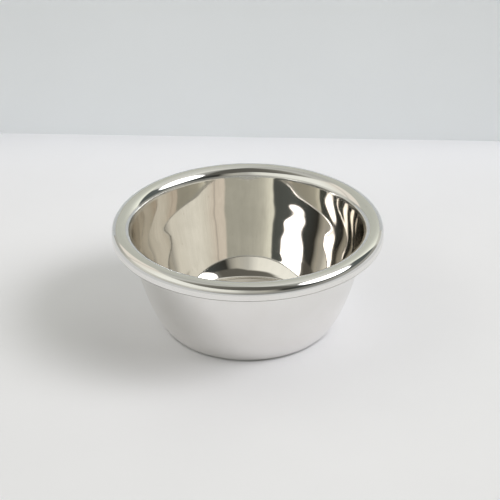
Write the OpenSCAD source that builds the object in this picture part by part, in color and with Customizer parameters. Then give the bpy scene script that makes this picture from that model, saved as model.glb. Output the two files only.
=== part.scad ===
// Prep bowl with a turned-down rim, drawn from one sheet of stainless steel.
// Lengths are in millimetres and angles in degrees.
// Z points up. The origin is the centre of the flat base, in the plane the bowl stands on.
// The sheet is followed from the base to the lip as a chain of arcs, each tangent to the next.
// It is divided across that chain into base, belly, upper wall and rolled rim, which meet face to face.

/* [Overall] */

// Outside width of the bowl, measured over the rim
rim_d = 150; // [136:0.5:180]

// Height from the table to the crest of the rim
bowl_h = 62.3; // [50:0.1:76]

// Thickness of the sheet
sheet = 1; // [0.6:0.1:1.4]

/* [Base] */

// Width of the flat base, up to the bend round it
base_d = 89.2; // [72:0.2:102]

// Outside radius of the bend round the base
base_bend_r = 3; // [2:0.25:5]

/* [Wall] */

// How much flatter the wall leaves the base bend than a straight wall would, in degrees
spring_ease = 17.6; // [10:0.1:24]

// How much flatter than a straight wall it still is where the belly ends, in degrees
belly_ease = 2.2; // [0.6:0.1:6]

// Outside radius of the belly above the base bend
belly_r = 53.5; // [40:0.5:70]

/* [Rim] */

// Width of the rim as seen from above
rim_w = 11.25; // [9.5:0.05:13]

// Radius of the bend on the outer side of the rim
rim_bend_r = 4.9; // [3.5:0.1:6]

// Depth of the turned-down lip, from the crest of the rim to its lower edge
lip_drop = 8.35; // [7:0.05:12]

/* [Hidden] */

// Slopes of the sheet where it lies flat, at the base and at the crest, and where it hangs straight down
flat_angle = 0;
hanging_angle = -90;

// Bend on the inner side of the rim: it takes the width that the outer bend leaves
rim_inner_bend_r = rim_w - rim_bend_r;
hidden_bend_r = rim_inner_bend_r - sheet;

// The two bends of the rim meet at its crest, this far from the axis
crest_r = rim_d / 2 - rim_bend_r;
inner_bend_centre = [crest_r, bowl_h - rim_inner_bend_r];
outer_bend_centre = [crest_r, bowl_h - rim_bend_r];

// A straight wall would run from the edge of the base to the foot of the rim's inner bend
base_edge = [base_d / 2, 0];
straight_rise = inner_bend_centre - [hidden_bend_r, 0] - base_edge;
straight_angle = atan2(straight_rise[1], straight_rise[0]);
spring_angle = straight_angle - spring_ease;
belly_angle = straight_angle - belly_ease;

// Ends and centres of the arcs, each as [distance from the axis, height]
base_bend_centre = base_edge + base_bend_r * inward(flat_angle);
belly_start = base_bend_centre - base_bend_r * inward(spring_angle);
belly_centre = belly_start + belly_r * inward(spring_angle);
upper_start = belly_centre - belly_r * inward(belly_angle);

// The upper wall is the one arc that leaves the belly in line and runs into the rim's inner bend in line
upper_rise = inner_bend_centre - upper_start;
upper_r = (upper_rise * upper_rise - hidden_bend_r * hidden_bend_r)
    / (2 * (hidden_bend_r + upper_rise * inward(belly_angle)));
upper_centre = upper_start + upper_r * inward(belly_angle);
upper_reach = inner_bend_centre - upper_centre;
rim_start_angle = atan2(upper_reach[0], -upper_reach[1]);

// Lower end of the lip, ahead of its rounded edge
edge_r = sheet / 2;
lip_centre = [rim_d / 2 - edge_r, bowl_h - lip_drop + edge_r];

// Each wedge that cuts an arc out of its ring reaches past the ring by this many radii
wedge_reach_share = 2;

steel = "Silver";
polished_steel = "WhiteSmoke";

// Enough sides for every circle to be read as a true round
$fn = 180;

// Direction across the sheet, towards the inside of the bowl, where the sheet has the given slope
function inward(slope) = [-sin(slope), cos(slope)];

// One bend of the sheet: a ring between two radii, kept between the directions of its two ends
module bend(centre, outer_r, from, to) {
    reach = wedge_reach_share * outer_r;
    translate(centre)
        intersection() {
            difference() {
                circle(r = outer_r);
                circle(r = outer_r - sheet);
            }
            polygon([[0, 0], reach * from, reach * (from + to) / norm(from + to), reach * to]);
        }
}

// Turns an outline in [distance from the axis, height] into a round solid
module spun() {
    rotate_extrude()
        children();
}

// Flat disc that the bowl stands on, with the bend round it
module base() {
    color(steel)
        spun() {
            square([base_edge[0], sheet]);
            bend(base_bend_centre, base_bend_r, -inward(flat_angle), -inward(spring_angle));
        }
}

// Lower part of the wall, more strongly curved
module belly() {
    color(steel)
        spun()
            bend(belly_centre, belly_r, -inward(spring_angle), -inward(belly_angle));
}

// Upper part of the wall, almost straight, up to where the sheet starts to turn outwards
module upper_wall() {
    color(steel)
        spun()
            bend(upper_centre, upper_r, -inward(belly_angle), -inward(rim_start_angle));
}

// Edge of the sheet turned outwards over a crest and down to a lip with a rounded edge
module rolled_rim() {
    color(polished_steel)
        spun() {
            bend(inner_bend_centre, rim_inner_bend_r, inward(rim_start_angle), inward(flat_angle));
            bend(outer_bend_centre, rim_bend_r, inward(flat_angle), inward(hanging_angle));
            translate([lip_centre[0] - edge_r, lip_centre[1]])
                square([sheet, outer_bend_centre[1] - lip_centre[1]]);
            translate(lip_centre)
                circle(r = edge_r);
        }
}

base();
belly();
upper_wall();
rolled_rim();
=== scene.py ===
"""Steel prep bowl: polished inside and over its turned rim, satin outside.

The bowl is one drawn sheet, so its four zones are built from one line of bends that
runs from the middle of the base up the wall, over the crest of the rim and down the lip.
Lengths are in metres. Z points up from the middle of the base.
"""

import math

import bpy
import numpy as np
from mathutils import Matrix, Vector


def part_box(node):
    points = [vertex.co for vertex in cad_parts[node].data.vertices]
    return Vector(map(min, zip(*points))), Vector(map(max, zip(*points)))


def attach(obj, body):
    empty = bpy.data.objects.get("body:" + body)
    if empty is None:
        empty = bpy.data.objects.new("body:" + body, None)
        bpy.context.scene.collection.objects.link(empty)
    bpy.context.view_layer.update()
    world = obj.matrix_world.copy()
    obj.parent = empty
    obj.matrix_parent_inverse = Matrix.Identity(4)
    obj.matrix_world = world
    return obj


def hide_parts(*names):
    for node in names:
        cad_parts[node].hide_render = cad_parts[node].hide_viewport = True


# The sheet, as it is drawn and turned
SHEET = 0.001
BASE_FLAT_R = 0.0446
BASE_BEND_R = 0.003
BELLY_R = 0.0535
RIM_WIDTH = 0.01125
RIM_OUTER_BEND_R = 0.0049

# How much flatter than the straight line from base to rim the wall is where the bend
# round the base ends, and where the belly ends
SPRING_EASE = math.radians(17.6)
BELLY_EASE = math.radians(2.2)

# Slow waves that drawing leaves in the polished face: height, half breadth and change of slope
DRAWN_WAVES = [
    (0.0025, 0.0015, math.radians(-4.0)),
    (0.0140, 0.0050, math.radians(-0.5)),
    (0.0260, 0.0030, math.radians(1.2)),
    (0.0375, 0.0040, math.radians(-3.4)),
    (0.0510, 0.0030, math.radians(1.2)),
]

# How finely the sheet is divided, and the distance below which two points are one
TURNS = 320
BEND_STEP = math.radians(2.2)
WALL_STEP = 0.0011
FLAT_STEP = 0.006
EDGE_STEPS = 8
SAME_POINT = 1e-9

# Height up to which the bend round the foot is painted dark, as painted contact shadow where it
# stands on the table
FOOT_SHADE_HEIGHT = 0.0009

# Places of a zone's finishes: its polished face, its satin face and the satin face's low end
POLISHED_SIDE = 0
SATIN_SIDE = 1
LOW_END = 2

# Heights of the turning lines and of the slow ripple on a polished face and on a satin one
POLISHED_LINES = 4e-7
POLISHED_RIPPLE = 4e-5
SATIN_LINES = 4e-6
SATIN_RIPPLE = 2e-5

# Heights at which the hairlines up the wall begin and reach their full strength
HAIRLINES_START = 0.003
HAIRLINES_FULL = 0.012

# A few dark specks of kitchen wear: their colour, how strongly they show, how many go to
# a smear's length, and the shares of the space between two at which one starts to fade
# and ends
SPECK = (0.30, 0.28, 0.25)
SPECK_SHARE = 0.3
SPECKS_PER_SMEAR = 4.0
SPECK_CORE_SHARE = 0.03
SPECK_END_SHARE = 0.09

# Stretch of a noise value that is spread over a whole mask
NOISE_LOW = 0.3
NOISE_HIGH = 0.7

# Least distance from the bowl's axis that the finishes divide by
LEAST_RADIUS = 1e-5

# Photograph's viewpoint; the bowl's axis is at x = 0, y = 0
CAMERA_BACK = 0.97309
CAMERA_UP = 0.57737
CAMERA_PITCH = 0.5016
CAMERA_YAW = 0.0013
CAMERA_ROLL = 0.0043
FOCAL_SHARE = 4.0
SENSOR_WIDTH_MM = 36.0

# Table, and the board that stands on it behind the bowl
TABLE_WHITE = (0.85, 0.858, 0.905)
TABLE_REACH = 1.6
BOARD_GREY = (0.815, 0.845, 0.88)
BOARD_DISTANCE = 0.2371
BOARD_TURN = math.radians(-2.77)
BOARD_LEFT = -0.29
BOARD_RIGHT = 0.24
BOARD_HEIGHT = 0.13

# Painted light and shade on the stage surfaces: where the table is painted paler away from the
# camera, where both surfaces are painted dimmer towards their sides, and where the table's near
# right corner is painted dim
PALER_START = -0.35
PALER_END = 0.25
SIDES_START = 0.06
SIDES_END = 0.25
PAINTED_SHADE_CORNER_AZIMUTH = math.radians(152)
PAINTED_SHADE_CORNER_START = 0.215
PAINTED_SHADE_CORNER_END = 0.45

# Mottle and roughness of the table and the board
MOTTLE_SCALE = 9.0
MOTTLE_SPREAD = 0.012
STAGE_ROUGHNESS = 0.7

# Oval soft light to the right: its direction and half angles as the bowl sees it, the
# strength of its sheet and of the lamp behind it, and how the lamp and the edge fade
SOFT_LIGHT_AZIMUTH = math.radians(102)
SOFT_LIGHT_ELEVATION = math.radians(42.5)
SOFT_LIGHT_HALF_WIDTH = math.radians(22.8)
SOFT_LIGHT_HALF_HEIGHT = math.radians(18)
SOFT_LIGHT_DISTANCE = 5.0
SOFT_LIGHT_TINT = (1.0, 0.985, 0.96)
SOFT_LIGHT_STRENGTH = 3.6
SOFT_LIGHT_CORE = 7.7
SOFT_LIGHT_CORE_SHIFT = 0.2
SOFT_LIGHT_CORE_SPREAD = 0.5
SOFT_LIGHT_FADE_START = 0.8
SOFT_LIGHT_SIDES = 48

# Mirror bounces that the inside needs before the light gets out at the left and right
MIRROR_BOUNCES = 16

# Tints of the studio's surfaces
PAPER = (1.0, 0.995, 0.91)
CREAM = (1.0, 0.985, 0.885)
BLUSH = (1.0, 0.93, 0.82)
UMBER = (1.0, 0.965, 0.83)
SLATE = (0.90, 1.0, 0.95)
SAGE = (0.99, 1.0, 0.88)

# Studio round the bowl: azimuth in degrees, 0 straight behind the bowl and 90 to the right,
# with how bright each surface is there and its tint. This is the stretch near the table.
LOW_SURFACES = [
    # Gap behind the camera, then the foot of the screen on the left
    (-180, 0.42, CREAM),
    (-165, 0.54, CREAM),
    (-150, 0.68, CREAM),
    (-135, 0.78, CREAM),
    (-120, 0.64, CREAM),
    (-90, 0.76, CREAM),
    (-75, 0.70, CREAM),
    # Foot of the back wall
    (-58, 0.50, CREAM),
    (-15, 0.56, CREAM),
    (30, 0.62, CREAM),
    (50, 0.74, CREAM),
    # Below the soft light and on towards the camera
    (54, 0.40, CREAM),
    (100, 0.44, CREAM),
    (138, 0.24, CREAM),
    (165, 0.40, CREAM),
    (180, 0.42, CREAM),
]
WALL_SURFACES = [
    # Pale screen on the left, brightest where it faces the soft light
    (-180, 0.58, CREAM),
    (-172, 0.84, CREAM),
    (-165, 1.00, CREAM),
    (-128, 1.09, PAPER),
    (-104, 1.13, PAPER),
    (-86, 1.04, CREAM),
    # Pinker end of the screen, with the seam in it
    (-68.5, 0.99, BLUSH),
    (-67, 0.42, BLUSH),
    (-65.5, 0.99, BLUSH),
    (-47, 1.03, BLUSH),
    # Back wall, brighter towards the right
    (-44, 0.61, SAGE),
    (-15, 0.61, SAGE),
    (15, 0.67, SAGE),
    (30, 0.78, SAGE),
    (45, 1.08, SAGE),
    (51, 1.20, SAGE),
    # Dark side round the soft light
    (54, 0.13, SLATE),
    (100, 0.15, SLATE),
    (126, 0.078, SLATE),
    (151, 0.045, UMBER),
    # Lighter gap beside the camera
    (158, 0.36, UMBER),
    (166, 0.56, UMBER),
    (180, 0.58, CREAM),
]
UPPER_SURFACES = [
    # Dark ceiling behind the camera, pale ceiling over the rest
    (-180, 0.14, UMBER),
    (-150, 0.16, UMBER),
    (-118, 0.25, UMBER),
    (-105, 0.36, UMBER),
    (-90, 0.60, PAPER),
    (-75, 0.67, PAPER),
    (-35, 0.54, PAPER),
    (0, 0.68, PAPER),
    (55, 0.80, PAPER),
    (72, 0.95, PAPER),
    (90, 0.90, PAPER),
    (105, 0.56, PAPER),
    (125, 0.40, PAPER),
    (138, 0.13, UMBER),
    (180, 0.14, UMBER),
]

# Elevation in degrees at which the walls and the screen end, by azimuth
WALL_TOPS = [
    (-180, 44),
    (-150, 45),
    (-120, 49),
    (-90, 52),
    (-45, 52),
    (45, 50),
    (54, 43),
    (78, 41),
    (95, 30),
    (122, 31),
    (132, 36),
    (165, 38),
    (180, 44),
]

# Sines of elevations: half breadth of the blend at the walls' tops, top of the stretch
# near the table, and half breadth of the blend there
WALL_TOP_BLEND = 0.03
LOW_TOP = math.sin(math.radians(15.5))
LOW_BLEND = 0.05


def across(slope):
    """Direction across the sheet, towards the inside of the bowl, where it has this slope."""
    return np.array([-math.sin(slope), math.cos(slope)])


def drawn_wave(height):
    """Change of slope of the polished face at this height."""
    tilt = 0.0
    for middle, half_breadth, most in DRAWN_WAVES:
        tilt += most * math.exp(-0.5 * ((height - middle) / half_breadth) ** 2)
    return tilt


class Bend:
    """One arc of the sheet, in distance from the axis and height.

    A hollow bend has its centre on the polished side, as the wall has. The other kind has
    it on the satin side, as the rim has. The radius is that of the larger face.
    """

    def __init__(self, centre, radius, start, end, hollow):
        self.centre = np.asarray(centre, float)
        self.radius = radius
        self.start = start
        self.end = end
        self.hollow = hollow

    def face(self, polished):
        """Points and outward normals along the polished face or the satin face."""
        span = abs(self.end - self.start)
        steps = max(math.ceil(span / BEND_STEP), math.ceil(span * self.radius / WALL_STEP))
        larger_face = polished != self.hollow
        radius = self.radius if larger_face else self.radius - SHEET
        points, normals = [], []
        for slope in np.linspace(self.start, self.end, steps + 1):
            inward = across(slope)
            point = self.centre + radius * (-inward if self.hollow else inward)
            points.append(point)
            if polished and self.hollow:
                normals.append(across(slope + drawn_wave(point[1])))
            else:
                normals.append(inward if polished else -inward)
        return points, normals


def sheet_bends(rim_r, crest_z):
    """Bends of the sheet from the base to the lip, each running into the next in line."""
    inner_bend_r = RIM_WIDTH - RIM_OUTER_BEND_R
    hidden_r = inner_bend_r - SHEET
    crest_r = rim_r - RIM_OUTER_BEND_R
    inner_centre = np.array([crest_r, crest_z - inner_bend_r])
    outer_centre = np.array([crest_r, crest_z - RIM_OUTER_BEND_R])

    base_edge = np.array([BASE_FLAT_R, 0.0])
    straight = inner_centre - [hidden_r, 0.0] - base_edge
    straight_slope = math.atan2(straight[1], straight[0])
    spring = straight_slope - SPRING_EASE
    belly_end = straight_slope - BELLY_EASE

    base_centre = base_edge + BASE_BEND_R * across(0.0)
    belly_start = base_centre - BASE_BEND_R * across(spring)
    belly_centre = belly_start + BELLY_R * across(spring)
    upper_start = belly_centre - BELLY_R * across(belly_end)

    rise = inner_centre - upper_start
    upper_r = (rise @ rise - hidden_r**2) / (2 * (hidden_r + rise @ across(belly_end)))
    upper_centre = upper_start + upper_r * across(belly_end)
    reach = inner_centre - upper_centre
    rim_start = math.atan2(reach[0], -reach[1])

    return {
        "base": Bend(base_centre, BASE_BEND_R, 0.0, spring, hollow=True),
        "belly": Bend(belly_centre, BELLY_R, spring, belly_end, hollow=True),
        "upper_wall": Bend(upper_centre, upper_r, belly_end, rim_start, hollow=True),
        "inner_rim": Bend(inner_centre, inner_bend_r, rim_start, 0.0, hollow=False),
        "outer_rim": Bend(outer_centre, RIM_OUTER_BEND_R, 0.0, -math.pi / 2, hollow=False),
    }


def straight_run(start, end, normal, step):
    """Points and normals along a flat stretch of the sheet."""
    start, end = np.asarray(start, float), np.asarray(end, float)
    steps = max(1, math.ceil(np.linalg.norm(end - start) / step))
    points = [start + (end - start) * i / steps for i in range(steps + 1)]
    return points, [np.asarray(normal, float)] * len(points)


def rounded_edge(centre, radius):
    """Half-round lower edge of the lip, from its outer face round to its hidden face."""
    points, normals = [], []
    for turn in np.linspace(0.0, math.pi, EDGE_STEPS + 1):
        normal = np.array([math.cos(turn), -math.sin(turn)])
        points.append(centre + radius * normal)
        normals.append(normal)
    return points, normals


def turned_back(run):
    """The same run followed the other way."""
    points, normals = run
    return points[::-1], normals[::-1]


def same_place(one, other):
    """Whether two points of the sheet's outline are one."""
    return np.linalg.norm(one - other) < SAME_POINT


def joined(*runs):
    """One line out of several runs, with a point that two runs share kept once."""
    points, normals = [], []
    for run_points, run_normals in runs:
        for point, normal in zip(run_points, run_normals):
            if not points or not same_place(point, points[-1]):
                points.append(point)
                normals.append(normal)
    return np.array(points), np.array(normals)


def spun_points(line, facing):
    """Vertices and normals of an outline turned round the axis, and each turn's vertices."""
    vertices, normals, rows = [], [], []
    for i in range(TURNS):
        turn = 2 * math.pi * i / TURNS
        c, s = math.cos(turn), math.sin(turn)
        row = []
        for k, (point, normal) in enumerate(zip(line, facing)):
            on_axis = point[0] < SAME_POINT
            if on_axis and i > 0:
                row.append(rows[0][k])
                continue
            row.append(len(vertices))
            vertices.append((point[0] * c, point[0] * s, point[1]))
            normals.append((normal[0] * c, normal[0] * s, normal[1]))
        rows.append(row)
    return vertices, normals, rows


def spun_faces(line, rows, polished_count, low_end):
    """Faces between neighbouring turns of an outline, and the place of each one's finish."""
    faces, finish_places = [], []
    for i in range(TURNS):
        here, there = rows[i], rows[(i + 1) % TURNS]
        for k in range(len(line)):
            n = (k + 1) % len(line)
            corners = list(dict.fromkeys((here[k], here[n], there[n], there[k])))
            if len(corners) < 3:
                continue
            faces.append(corners)
            middle = (line[k][1] + line[n][1]) / 2
            if k < polished_count - 1:
                finish_places.append(POLISHED_SIDE)
            elif middle < low_end:
                finish_places.append(LOW_END)
            else:
                finish_places.append(SATIN_SIDE)
    return faces, finish_places


def spun_piece(name, polished_line, satin_line, finishes, low_end=0.0):
    """Spins one zone of the sheet round the bowl's axis, polished line first.

    The finishes are those of the polished line, of the satin line and, where the zone has
    a low end, of the satin line's faces below that height.
    """
    polished_points, polished_facing = polished_line
    satin_points, satin_facing = satin_line
    first = 1 if same_place(polished_points[-1], satin_points[0]) else 0
    line = np.concatenate([polished_points, satin_points[first:]])
    facing = np.concatenate([polished_facing, satin_facing[first:]])
    vertices, normals, rows = spun_points(line, facing)
    faces, finish_places = spun_faces(line, rows, len(polished_points), low_end)

    mesh = bpy.data.meshes.new(name)
    mesh.from_pydata(vertices, [], faces)
    for finish in finishes:
        mesh.materials.append(finish)
    mesh.polygons.foreach_set("material_index", finish_places)
    mesh.polygons.foreach_set("use_smooth", [True] * len(faces))
    mesh.update()
    mesh.normals_split_custom_set_from_vertices(normals)
    piece = bpy.data.objects.new(name, mesh)
    bpy.context.scene.collection.objects.link(piece)
    return piece


def put_in_place(piece, node):
    """The piece stands for its CAD node and moves with the bowl."""
    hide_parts(node)
    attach(piece, "root")


def add_base(bends):
    """Flat base and the bend round it, painted dark as contact shadow where it stands on the table.
    """
    up, down = (0.0, 1.0), (0.0, -1.0)
    floor = straight_run((0.0, SHEET), (BASE_FLAT_R, SHEET), up, FLAT_STEP)
    underside = straight_run((BASE_FLAT_R, 0.0), (0.0, 0.0), down, FLAT_STEP)
    base = spun_piece(
        "base_sheet",
        joined(floor, bends["base"].face(polished=True)),
        joined(turned_back(bends["base"].face(polished=False)), underside),
        (POLISHED, SATIN, PAINTED_FOOT_SHADE),
        low_end=FOOT_SHADE_HEIGHT,
    )
    put_in_place(base, "base")


def add_wall(bends):
    """The wall's two zones, the belly and the straighter upper wall."""
    for zone in ("belly", "upper_wall"):
        piece = spun_piece(
            zone + "_sheet",
            joined(bends[zone].face(polished=True)),
            joined(turned_back(bends[zone].face(polished=False))),
            (POLISHED, SATIN),
        )
        put_in_place(piece, zone)


def add_rim(bends, rim_r, lip_z):
    """Rim, turned out over its crest and down to the lip's rounded lower edge."""
    out, back = (1.0, 0.0), (-1.0, 0.0)
    edge_r = SHEET / 2
    edge_z = lip_z + edge_r
    bend_z = bends["outer_rim"].centre[1]
    outer_lip = straight_run((rim_r, bend_z), (rim_r, edge_z), out, WALL_STEP)
    inner_lip = straight_run((rim_r - SHEET, edge_z), (rim_r - SHEET, bend_z), back, WALL_STEP)
    rim = spun_piece(
        "rolled_rim_sheet",
        joined(bends["inner_rim"].face(polished=True), bends["outer_rim"].face(polished=True)),
        joined(
            outer_lip,
            rounded_edge(np.array([rim_r - edge_r, edge_z]), edge_r),
            inner_lip,
            turned_back(bends["outer_rim"].face(polished=False)),
            turned_back(bends["inner_rim"].face(polished=False)),
        ),
        # The lip's lower edge carries painted shade of the crevice under the lip
        (POLISHED_RIM, SATIN, CUT_EDGE_AND_SHADE),
        low_end=edge_z,
    )
    put_in_place(rim, "rolled_rim")


def add_bowl():
    """The four zones of the sheet, with the same joins as the CAD nodes."""
    rim_low, rim_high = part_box("rolled_rim")
    bends = sheet_bends(rim_high.x, rim_high.z)
    add_base(bends)
    add_wall(bends)
    add_rim(bends, rim_high.x, rim_low.z)


def opaque(colour):
    """A colour with full alpha, as the shader sockets take it."""
    return tuple(colour) + (1.0,)


class Nodes:
    """Short hand for adding shader nodes to one tree."""

    def __init__(self, tree):
        self.tree = tree

    def add(self, kind, values=None, **settings):
        """Adds a node; values are numbers, colours or sockets by input name or number."""
        node = self.tree.nodes.new("ShaderNode" + kind)
        for key, value in settings.items():
            setattr(node, key, value)
        for key, value in (values or {}).items():
            if isinstance(value, bpy.types.NodeSocket):
                self.tree.links.new(value, node.inputs[key])
            else:
                node.inputs[key].default_value = value
        return node

    def math(self, operation, *values):
        """Adds a Math node and gives its result."""
        return self.add("Math", dict(enumerate(values)), operation=operation).outputs[0]

    def vector(self, operation, *values):
        """Adds a Vector Math node and gives its outputs."""
        return self.add("VectorMath", dict(enumerate(values)), operation=operation).outputs

    def remap(self, value, low, high, at_low, at_high, mode="LINEAR"):
        """Adds a Map Range node, level beyond both ends, and gives its result."""
        values = {0: value, 1: low, 2: high, 3: at_low, 4: at_high}
        return self.add("MapRange", values, interpolation_type=mode).outputs[0]

    def between(self, noise, low, high):
        """Spreads a noise value between two values."""
        return self.remap(noise, NOISE_LOW, NOISE_HIGH, low, high)

    def mix(self, share, first, second, mode="MIX"):
        """Adds a colour Mix node and gives its result."""
        values = {0: share, 6: first, 7: second}
        return self.add("Mix", values, data_type="RGBA", blend_type=mode).outputs[2]

    def ramp(self, value, stops):
        """Adds a Color Ramp with (place, colour or grey) stops and gives its colour."""
        node = self.add("ValToRGB", {0: value})
        elements = node.color_ramp.elements
        while len(elements) > 1:
            elements.remove(elements[-1])
        for number, (place, colour) in enumerate(stops):
            element = elements[0] if number == 0 else elements.new(place)
            element.position = place
            grey = isinstance(colour, (int, float))
            element.color = opaque((colour,) * 3 if grey else colour)
        return node.outputs["Color"]

    def place(self):
        """Gives the shaded point's place on its object, and the three parts of it."""
        place = self.add("TexCoord").outputs["Object"]
        return place, self.add("SeparateXYZ", {0: place}).outputs

    def axis_distance(self, x, y):
        """Gives the distance from the bowl's axis, kept above zero so that it can divide."""
        squares = self.math("ADD", self.math("MULTIPLY", x, x), self.math("MULTIPLY", y, y))
        return self.math("MAXIMUM", self.math("SQRT", squares), LEAST_RADIUS)

    def effect(self, group, values=None):
        """Places a shared effect, its inputs set by name, and gives its outputs."""
        node = self.add("Group", node_tree=group)
        for key, value in (values or {}).items():
            node.inputs[key].default_value = value
        return node.outputs


def empty_nodes(owner):
    """Empties the node tree of a material or a world, for nodes of its own."""
    owner.use_nodes = True
    owner.node_tree.nodes.clear()
    return Nodes(owner.node_tree)


def new_group(name, inputs, outputs):
    """A shader node group with number sockets, and the sockets of its two end nodes."""
    kind = "NodeSocketFloat"
    group = bpy.data.node_groups.new(name, "ShaderNodeTree")
    for socket_name, default in inputs.items():
        socket = group.interface.new_socket(socket_name, in_out="INPUT", socket_type=kind)
        socket.default_value = default
    for socket_name in outputs:
        group.interface.new_socket(socket_name, in_out="OUTPUT", socket_type=kind)
    given = group.nodes.new("NodeGroupInput")
    result = group.nodes.new("NodeGroupOutput")
    return group, Nodes(group), given.outputs, result.inputs


def make_turning_lines():
    """Fine lines that run round the bowl where it was turned and polished.

    A line's length is given as a share of its distance from the axis.
    """
    group, nodes, given, result = new_group(
        "turning_lines", {"Spacing": 0.0006, "Length round the bowl": 0.4}, ["Lines"]
    )
    _, (x, y, z) = nodes.place()
    radius = nodes.axis_distance(x, y)
    fineness = nodes.math("DIVIDE", 1.0, given["Spacing"])
    round_scale = nodes.math("DIVIDE", 1.0, given["Length round the bowl"])
    spot = nodes.add(
        "CombineXYZ",
        {
            0: nodes.math("MULTIPLY", radius, fineness),
            1: nodes.math("MULTIPLY", z, fineness),
            2: nodes.math("MULTIPLY", nodes.math("DIVIDE", x, radius), round_scale),
        },
    )
    noise = nodes.add(
        "TexNoise",
        {
            "Vector": spot.outputs[0],
            "W": nodes.math("MULTIPLY", nodes.math("DIVIDE", y, radius), round_scale),
            "Scale": 1.0,
            "Detail": 3.0,
            "Roughness": 0.6,
        },
        noise_dimensions="4D",
    )
    group.links.new(noise.outputs[0], result["Lines"])
    return group


def make_drawn_ripple():
    """Slow waves that drawing leaves in the sheet, longer up the wall than round it."""
    group, nodes, given, result = new_group(
        "drawn_ripple", {"Waves round the bowl": 4.5, "Waves up the wall": 60.0}, ["Ripple"]
    )
    _, (x, y, z) = nodes.place()
    radius = nodes.axis_distance(x, y)
    waves = given["Waves round the bowl"]
    spot = nodes.add(
        "CombineXYZ",
        {
            0: nodes.math("MULTIPLY", nodes.math("DIVIDE", x, radius), waves),
            1: nodes.math("MULTIPLY", nodes.math("DIVIDE", y, radius), waves),
            2: nodes.math("MULTIPLY", z, given["Waves up the wall"]),
        },
    )
    noise = nodes.add(
        "TexNoise", {"Vector": spot.outputs[0], "Scale": 1.0, "Detail": 1.0, "Roughness": 0.4}
    )
    group.links.new(noise.outputs[0], result["Ripple"])
    return group


def make_handling_marks():
    """Faint smears and spots left by handling and wiping."""
    group, nodes, given, result = new_group("handling_marks", {"Size": 0.02}, ["Smears", "Spots"])
    place, _ = nodes.place()
    fineness = nodes.math("DIVIDE", 1.0, given["Size"])
    smears = nodes.add(
        "TexNoise",
        {"Vector": place, "Scale": fineness, "Detail": 4.0, "Roughness": 0.55, "Distortion": 0.8},
    )
    closeness = nodes.math("MULTIPLY", fineness, SPECKS_PER_SMEAR)
    spots = nodes.add("TexVoronoi", {"Vector": place, "Scale": closeness})
    small = nodes.remap(spots.outputs["Distance"], SPECK_CORE_SHARE, SPECK_END_SHARE, 1.0, 0.0)
    group.links.new(smears.outputs[0], result["Smears"])
    group.links.new(small, result["Spots"])
    return group


def make_drawn_hairlines():
    """Fine lines up the wall that the drawing tool leaves; none on the flat base."""
    group, nodes, given, result = new_group(
        "drawn_hairlines",
        {"Lines round the bowl": 150.0, "Lines up the wall": 55.0, "Strength": 1.0},
        ["Hairlines"],
    )
    _, (x, y, z) = nodes.place()
    flat = nodes.add("CombineXYZ", {0: x, 1: y}).outputs[0]
    lengthened = {0: nodes.vector("NORMALIZE", flat)[0], "Scale": given["Lines round the bowl"]}
    around = nodes.add("VectorMath", lengthened, operation="SCALE").outputs[0]
    up = nodes.add("CombineXYZ", {2: nodes.math("MULTIPLY", z, given["Lines up the wall"])})
    spot = nodes.vector("ADD", around, up.outputs[0])[0]
    noise = nodes.add("TexNoise", {"Vector": spot, "Scale": 1.0, "Detail": 2.0, "Roughness": 0.6})
    on_wall = nodes.remap(z, HAIRLINES_START, HAIRLINES_FULL, 0.0, 1.0)
    lines = nodes.math("MULTIPLY", nodes.math("SUBTRACT", noise.outputs[0], 0.5), on_wall)
    group.links.new(nodes.math("MULTIPLY", lines, given["Strength"]), result["Hairlines"])
    return group


def steel(name, colour, darker, roughness, rougher, line_height, ripple_height, hairlines=0.0):
    """Bare stainless steel with turning lines, slow ripple, hairlines and handling marks."""
    material = bpy.data.materials.new(name)
    nodes = empty_nodes(material)
    lines = nodes.effect(TURNING_LINES)["Lines"]
    ripple = nodes.effect(DRAWN_RIPPLE)["Ripple"]
    drawn = nodes.effect(DRAWN_HAIRLINES, {"Strength": hairlines})["Hairlines"]
    marks = nodes.effect(HANDLING_MARKS)

    streaked = nodes.between(nodes.math("ADD", marks["Smears"], drawn), 0.0, 1.0)
    tint = nodes.mix(streaked, opaque(colour), opaque(darker))
    tint = nodes.mix(nodes.math("MULTIPLY", marks["Spots"], SPECK_SHARE), tint, opaque(SPECK))
    worn = nodes.math("MULTIPLY", nodes.math("ADD", lines, marks["Smears"]), 0.5)
    bumped = nodes.add("Bump", {"Strength": 1.0, "Distance": ripple_height, "Height": ripple})
    lined = nodes.add(
        "Bump",
        {"Strength": 1.0, "Distance": line_height, "Height": lines, "Normal": bumped.outputs[0]},
    )
    shader = nodes.add(
        "BsdfPrincipled",
        {
            "Base Color": tint,
            "Metallic": 1.0,
            "Roughness": nodes.between(worn, roughness, rougher),
            "Normal": lined.outputs[0],
        },
    )
    nodes.add("OutputMaterial", {0: shader.outputs[0]})
    return material


def direction(azimuth, elevation):
    """Unit vector seen from the bowl; azimuth 0 is straight back and turns to the right."""
    return Vector(
        (
            math.sin(azimuth) * math.cos(elevation),
            math.cos(azimuth) * math.cos(elevation),
            math.sin(elevation),
        )
    )


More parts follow.
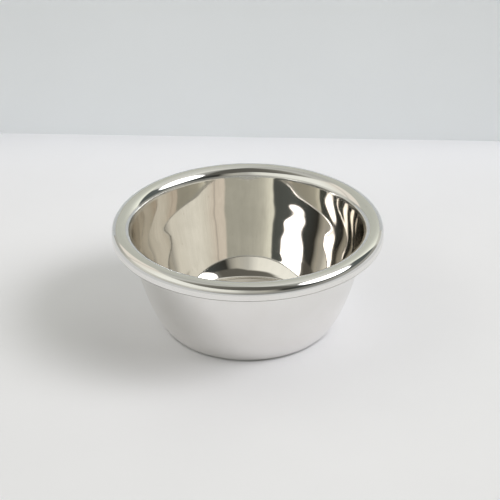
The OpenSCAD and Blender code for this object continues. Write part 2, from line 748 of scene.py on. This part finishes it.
def plain_surface(name, colour, glow=0.0, paler=0.0, sides=0.0, dim=1.0):
    """Matt stage surface with a barely visible mottle.

    It can have a painted glow, and painted light and shade: paler away from the camera,
    and dimmer towards both sides and the near right corner.
    """
    material = bpy.data.materials.new(name)
    nodes = empty_nodes(material)
    place, (aside, away, _) = nodes.place()
    mottle = nodes.add("TexNoise", {"Vector": place, "Scale": MOTTLE_SCALE, "Detail": 5.0})
    corner = tuple(direction(PAINTED_SHADE_CORNER_AZIMUTH, 0.0))
    to_corner = nodes.vector("DOT_PRODUCT", place, corner)["Value"]
    shade = nodes.between(mottle.outputs[0], 1.0 - MOTTLE_SPREAD, 1.0 + MOTTLE_SPREAD)
    for change in (
        nodes.remap(away, PALER_START, PALER_END, 1.0 - paler, 1.0 + paler),
        nodes.remap(nodes.math("ABSOLUTE", aside), SIDES_START, SIDES_END, 1.0, 1.0 - sides),
        nodes.remap(to_corner, PAINTED_SHADE_CORNER_START, PAINTED_SHADE_CORNER_END, 1.0, dim, mode="SMOOTHSTEP"),
    ):
        shade = nodes.math("MULTIPLY", shade, change)
    tint = nodes.mix(1.0, opaque(colour), shade, mode="MULTIPLY")
    shader = nodes.add(
        "BsdfPrincipled",
        {
            "Base Color": tint,
            "Roughness": STAGE_ROUGHNESS,
            "Specular IOR Level": 0.0,
            "Emission Color": tint,
            "Emission Strength": glow,
        },
    )
    nodes.add("OutputMaterial", {0: shader.outputs[0]})
    return material


def one_sided(material):
    """Lets the back of a stage sheet be looked through, so that it never hides the bowl."""
    tree = material.node_tree
    nodes = Nodes(tree)
    output = next(node for node in tree.nodes if node.type == "OUTPUT_MATERIAL")
    front = output.inputs[0].links[0].from_socket
    back = nodes.add("BsdfTransparent")
    side = nodes.add("NewGeometry").outputs["Backfacing"]
    mixed = nodes.add("MixShader", {0: side, 1: front, 2: back.outputs[0]})
    tree.links.new(mixed.outputs[0], output.inputs[0])


def stage_sheet(name, corners, material):
    """A flat stage sheet; its front is the side on which its corners run anticlockwise."""
    mesh = bpy.data.meshes.new(name)
    mesh.from_pydata([tuple(c) for c in corners], [], [tuple(range(len(corners)))])
    mesh.materials.append(material)
    sheet = bpy.data.objects.new(name, mesh)
    bpy.context.scene.collection.objects.link(sheet)
    return sheet


def add_table():
    """White table that the bowl stands on."""
    sides = ((-1, -1), (1, -1), (1, 1), (-1, 1))
    corners = [(x * TABLE_REACH, y * TABLE_REACH, 0.0) for x, y in sides]
    # Painted light and shade on the table: paler away from the camera, darker at its sides and near
    # right corner
    material = plain_surface("white_table", TABLE_WHITE, paler=0.045, sides=0.05, dim=0.4)
    stage_sheet("table", corners, material)


def add_board():
    """Pale board that stands across the table behind the bowl."""
    # The board's glow is painted light, as it is no lamp; its sides are painted darker
    material = plain_surface("pale_board", BOARD_GREY, glow=0.09, sides=0.05)
    one_sided(material)
    along = Vector((math.cos(BOARD_TURN), math.sin(BOARD_TURN), 0.0))
    foot = Vector((0.0, BOARD_DISTANCE, 0.0))
    left, right = foot + along * BOARD_LEFT, foot + along * BOARD_RIGHT
    top = Vector((0.0, 0.0, BOARD_HEIGHT))
    stage_sheet("board", [left, right, right + top, left + top], material)


def glowing_sheet(side, rise):
    """Cloth of the soft light, brightest in front of its lamp and fading at its edge.

    Side and rise point across it and up it. Their lengths turn metres into shares of its
    half width and half height.
    """
    material = bpy.data.materials.new("soft_light")
    nodes = empty_nodes(material)
    place, _ = nodes.place()
    u = nodes.vector("DOT_PRODUCT", place, tuple(side))["Value"]
    v = nodes.vector("DOT_PRODUCT", place, tuple(rise))["Value"]
    spot = nodes.add("CombineXYZ", {0: u, 1: v}).outputs[0]
    out = nodes.vector("LENGTH", spot)["Value"]
    fade = nodes.remap(out, SOFT_LIGHT_FADE_START, 1.0, 1.0, 0.0, mode="SMOOTHSTEP")
    off_lamp = nodes.vector("DISTANCE", spot, (SOFT_LIGHT_CORE_SHIFT, 0.0, 0.0))["Value"]
    spread = nodes.math("POWER", nodes.math("DIVIDE", off_lamp, SOFT_LIGHT_CORE_SPREAD), 2.0)
    falling = nodes.math("EXPONENT", nodes.math("MULTIPLY", spread, -1.0))
    core = nodes.math("MULTIPLY", falling, SOFT_LIGHT_CORE)
    strength = nodes.math("MULTIPLY", fade, nodes.math("ADD", core, SOFT_LIGHT_STRENGTH))
    glow = nodes.add("Emission", {"Color": opaque(SOFT_LIGHT_TINT), "Strength": strength})
    nodes.add("OutputMaterial", {0: glow.outputs[0]})
    one_sided(material)
    material.cycles.emission_sampling = "FRONT"
    return material


def add_soft_light():
    """Large oval soft light up to the right, turned towards the bowl."""
    toward = direction(SOFT_LIGHT_AZIMUTH, SOFT_LIGHT_ELEVATION)
    side = Vector((0, 0, 1)).cross(toward).normalized()
    rise = toward.cross(side).normalized()
    half_width = SOFT_LIGHT_DISTANCE * math.tan(SOFT_LIGHT_HALF_WIDTH)
    half_height = SOFT_LIGHT_DISTANCE * math.tan(SOFT_LIGHT_HALF_HEIGHT)
    corners = []
    for i in range(SOFT_LIGHT_SIDES):
        turn = -2 * math.pi * i / SOFT_LIGHT_SIDES
        corners.append(side * half_width * math.cos(turn) + rise * half_height * math.sin(turn))
    material = glowing_sheet(side / half_width, rise / half_height)
    light = stage_sheet("soft_light", corners, material)
    light.location = toward * SOFT_LIGHT_DISTANCE


def at_azimuth(degrees):
    """Place on a ramp that runs once round the room, from azimuth -180 to 180 degrees."""
    return (degrees + 180) / 360


def painted_round(nodes, place, surfaces):
    """Colour of a ring of studio surfaces at a place round the room."""
    stops = []
    for azimuth, level, tint in surfaces:
        stops.append((at_azimuth(azimuth), [level * part for part in tint]))
    return nodes.ramp(place, stops)


def add_room():
    """Plain room: cream to the left, a pale wall behind, dark to the right and overhead."""
    world = bpy.data.worlds.new("room")
    bpy.context.scene.world = world
    nodes = empty_nodes(world)
    toward = nodes.add("TexCoord").outputs["Generated"]
    x, y, z = nodes.add("SeparateXYZ", {0: toward}).outputs
    azimuth = nodes.math("ARCTAN2", x, y)
    place = nodes.remap(azimuth, -math.pi, math.pi, 0.0, 1.0)

    low = painted_round(nodes, place, LOW_SURFACES)
    walls = painted_round(nodes, place, WALL_SURFACES)
    above = painted_round(nodes, place, UPPER_SURFACES)
    tops = nodes.ramp(place, [(at_azimuth(a), math.sin(math.radians(e))) for a, e in WALL_TOPS])
    past = nodes.math("SUBTRACT", z, tops)
    over_walls = nodes.remap(past, -WALL_TOP_BLEND, WALL_TOP_BLEND, 0.0, 1.0, mode="SMOOTHSTEP")
    over_low = nodes.remap(z, LOW_TOP - LOW_BLEND, LOW_TOP + LOW_BLEND, 0.0, 1.0, mode="SMOOTHSTEP")
    painted = nodes.mix(over_walls, nodes.mix(over_low, low, walls), above)
    back = nodes.add("Background", {"Color": painted, "Strength": 1.0})
    nodes.add("OutputWorld", {0: back.outputs[0]})


def add_camera():
    """Camera at the photograph's viewpoint."""
    c, s = math.cos(CAMERA_YAW), math.sin(CAMERA_YAW)
    pitch_c, pitch_s = math.cos(CAMERA_PITCH), math.sin(CAMERA_PITCH)
    roll_c, roll_s = math.cos(CAMERA_ROLL), math.sin(CAMERA_ROLL)
    level_right = Vector((c, -s, 0.0))
    forward = Vector((s * pitch_c, c * pitch_c, -pitch_s))
    level_up = level_right.cross(forward)
    right = level_right * roll_c - level_up * roll_s
    up = level_right * roll_s + level_up * roll_c

    data = bpy.data.cameras.new("camera")
    data.sensor_width = SENSOR_WIDTH_MM
    data.lens = FOCAL_SHARE * SENSOR_WIDTH_MM
    camera = bpy.data.objects.new("camera", data)
    turn = Matrix((right, up, -forward)).transposed().to_4x4()
    camera.matrix_world = Matrix.Translation((0.0, -CAMERA_BACK, CAMERA_UP)) @ turn
    bpy.context.scene.collection.objects.link(camera)
    bpy.context.scene.camera = camera


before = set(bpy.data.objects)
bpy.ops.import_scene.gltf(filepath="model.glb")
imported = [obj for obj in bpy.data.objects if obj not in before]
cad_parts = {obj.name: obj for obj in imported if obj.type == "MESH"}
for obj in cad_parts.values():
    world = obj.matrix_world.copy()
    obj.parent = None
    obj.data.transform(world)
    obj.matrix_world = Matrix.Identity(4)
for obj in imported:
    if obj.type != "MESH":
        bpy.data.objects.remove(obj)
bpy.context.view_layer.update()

TURNING_LINES = make_turning_lines()
DRAWN_RIPPLE = make_drawn_ripple()
DRAWN_HAIRLINES = make_drawn_hairlines()
HANDLING_MARKS = make_handling_marks()

POLISHED = steel(
    "polished_steel",
    colour=(0.785, 0.76, 0.724),
    darker=(0.715, 0.692, 0.656),
    roughness=0.03,
    rougher=0.06,
    line_height=POLISHED_LINES,
    ripple_height=POLISHED_RIPPLE,
    hairlines=0.65,
)
POLISHED_RIM = steel(
    "polished_steel_rim",
    colour=(0.73, 0.728, 0.718),
    darker=(0.71, 0.708, 0.698),
    roughness=0.045,
    rougher=0.08,
    line_height=POLISHED_LINES,
    ripple_height=POLISHED_RIPPLE,
)
SATIN = steel(
    "satin_steel",
    colour=(0.895, 0.883, 0.868),
    darker=(0.865, 0.85, 0.83),
    roughness=0.19,
    rougher=0.25,
    line_height=SATIN_LINES,
    ripple_height=SATIN_RIPPLE,
)
# The lip's rounded lower edge: a rougher cut edge, its dark colour painted shade of the crevice
# under the lip
CUT_EDGE_AND_SHADE = steel(
    "cut_edge_and_painted_shade",
    colour=(0.30, 0.29, 0.27),
    darker=(0.22, 0.21, 0.20),
    roughness=0.35,
    rougher=0.5,
    line_height=SATIN_LINES,
    ripple_height=SATIN_RIPPLE,
)
# Dark, rougher steel on the foot's bend: painted contact shadow where the bowl meets the table
PAINTED_FOOT_SHADE = steel(
    "foot_painted_contact_shade",
    colour=(0.40, 0.39, 0.375),
    darker=(0.30, 0.29, 0.28),
    roughness=0.35,
    rougher=0.5,
    line_height=SATIN_LINES,
    ripple_height=SATIN_RIPPLE,
)

add_bowl()
add_table()
add_board()
add_soft_light()
add_room()
add_camera()

scene = bpy.context.scene
scene.view_settings.view_transform = "Standard"
scene.cycles.max_bounces = MIRROR_BOUNCES
scene.cycles.glossy_bounces = MIRROR_BOUNCES
